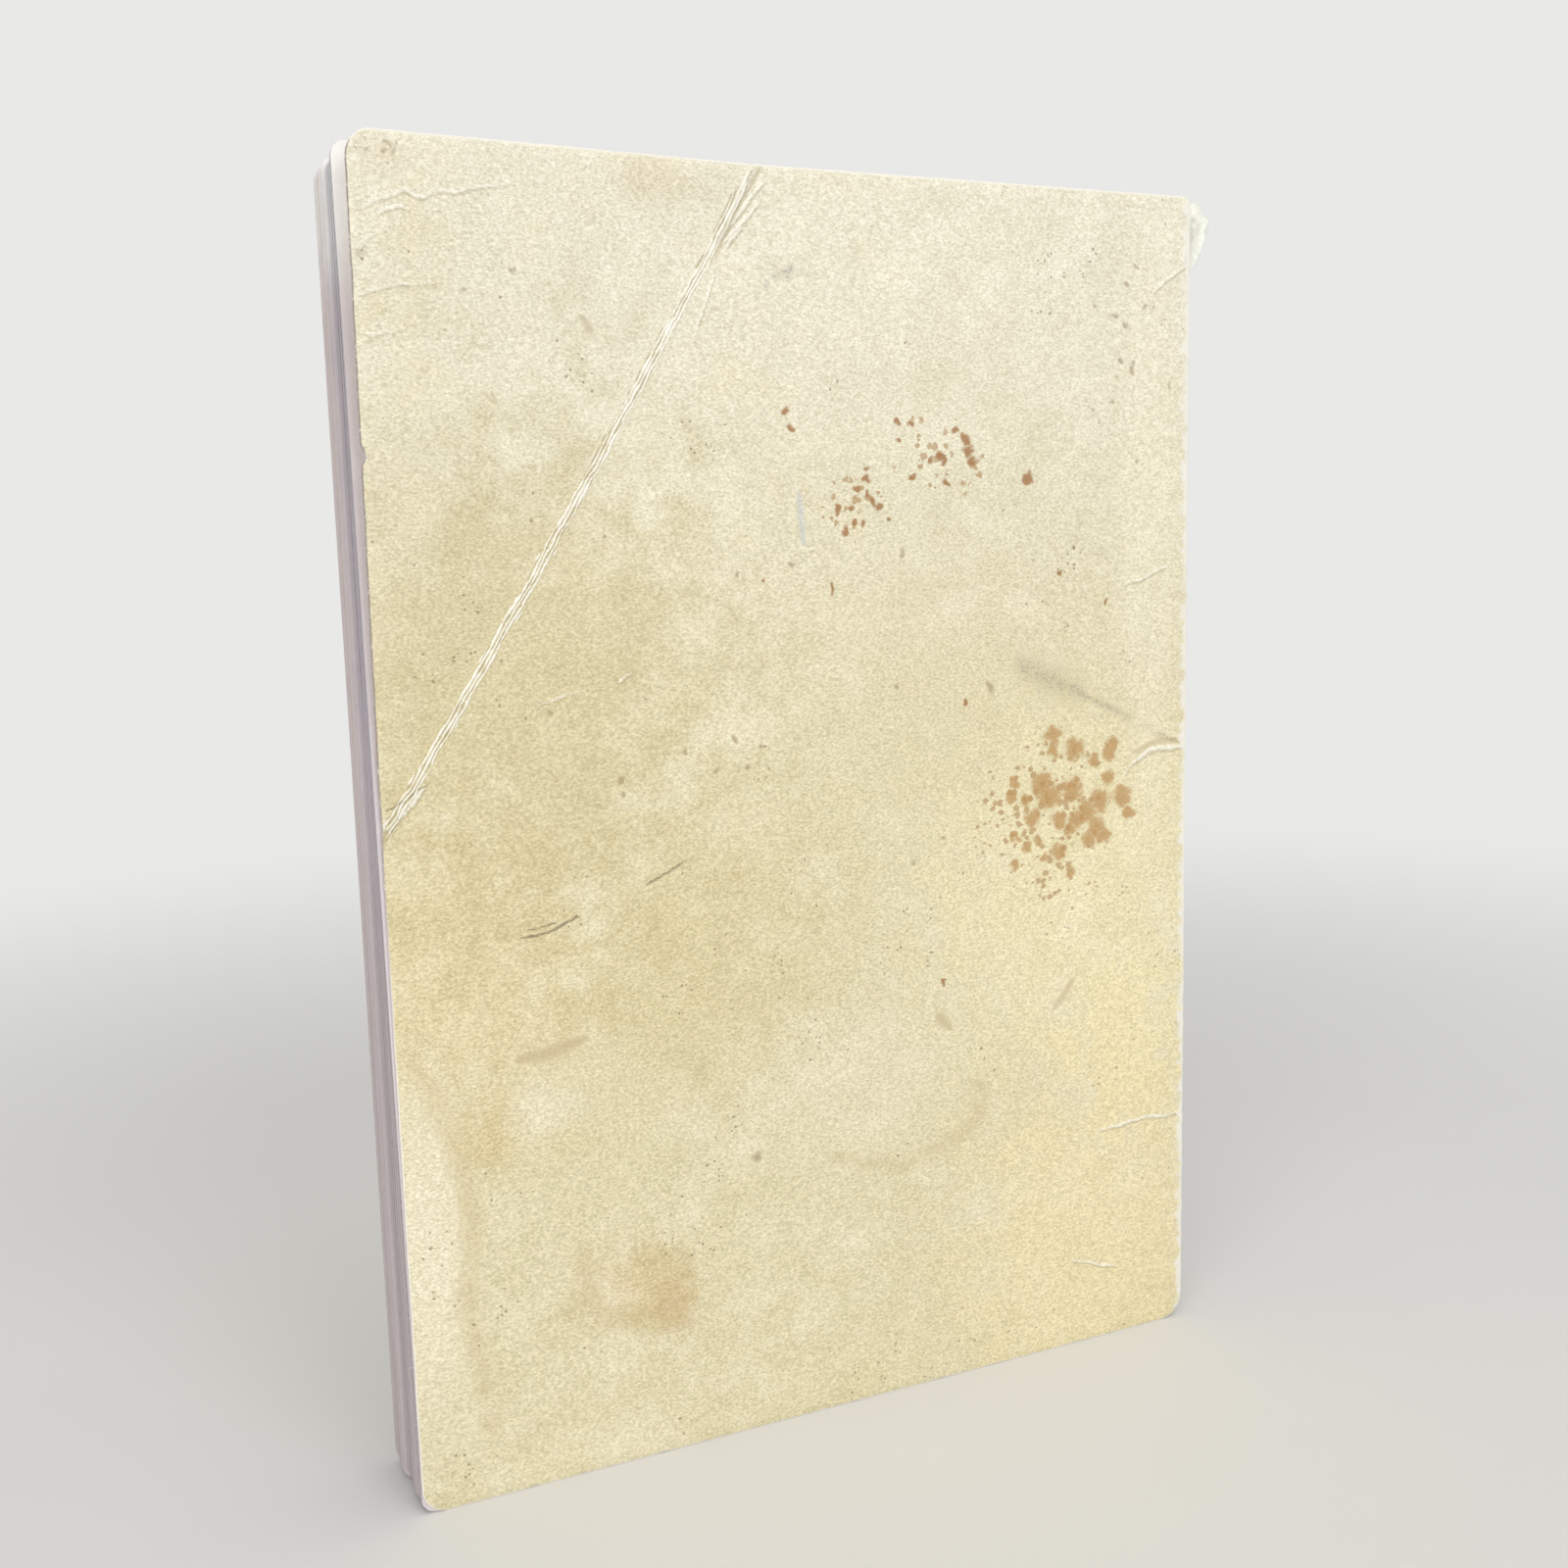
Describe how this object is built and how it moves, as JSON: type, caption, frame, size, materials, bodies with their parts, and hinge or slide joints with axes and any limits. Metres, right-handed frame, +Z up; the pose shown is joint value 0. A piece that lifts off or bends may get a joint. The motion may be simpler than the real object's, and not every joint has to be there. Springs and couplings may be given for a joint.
{
  "type": "paperback book",
  "caption": "Worn paperback book that stands on its tail, with blank aged card covers hinged at the spine folds, a creased corner and a torn spine head.",
  "frame": {"origin": "middle of the leaves' tail edge, on the surface that the book stands on", "axes": "+Z up the book from tail to head, +X from the fore-edge to the spine, +Y from the back cover to the front cover"},
  "size_m": [0.1539, 0.0231, 0.21],
  "materials": {
    "leaves": "aged, grey at the edges",
    "glue": "dry brown glue",
    "spine_card": "aged cream card",
    "front_card": "aged cream card",
    "back_card": "aged cream card"
  },
  "bodies": {
    "book_block": {"page_block": "leaves", "spine_glue": "glue", "spine": "spine_card"},
    "front_cover": {"front_cover": "front_card"},
    "back_cover": {"back_cover": "back_card"}
  },
  "joints": [
    {"name": "front_cover_fold", "type": "hinge", "parent": "book_block", "child": "front_cover", "pos_m": [0.0746, 0.00914, 0], "axis": [0, 0, -1], "range_deg": [0, 180]},
    {"name": "back_cover_fold", "type": "hinge", "parent": "book_block", "child": "back_cover", "pos_m": [0.0746, -0.00914, 0], "axis": [0, 0, 1], "range_deg": [0, 180]}
  ]
}
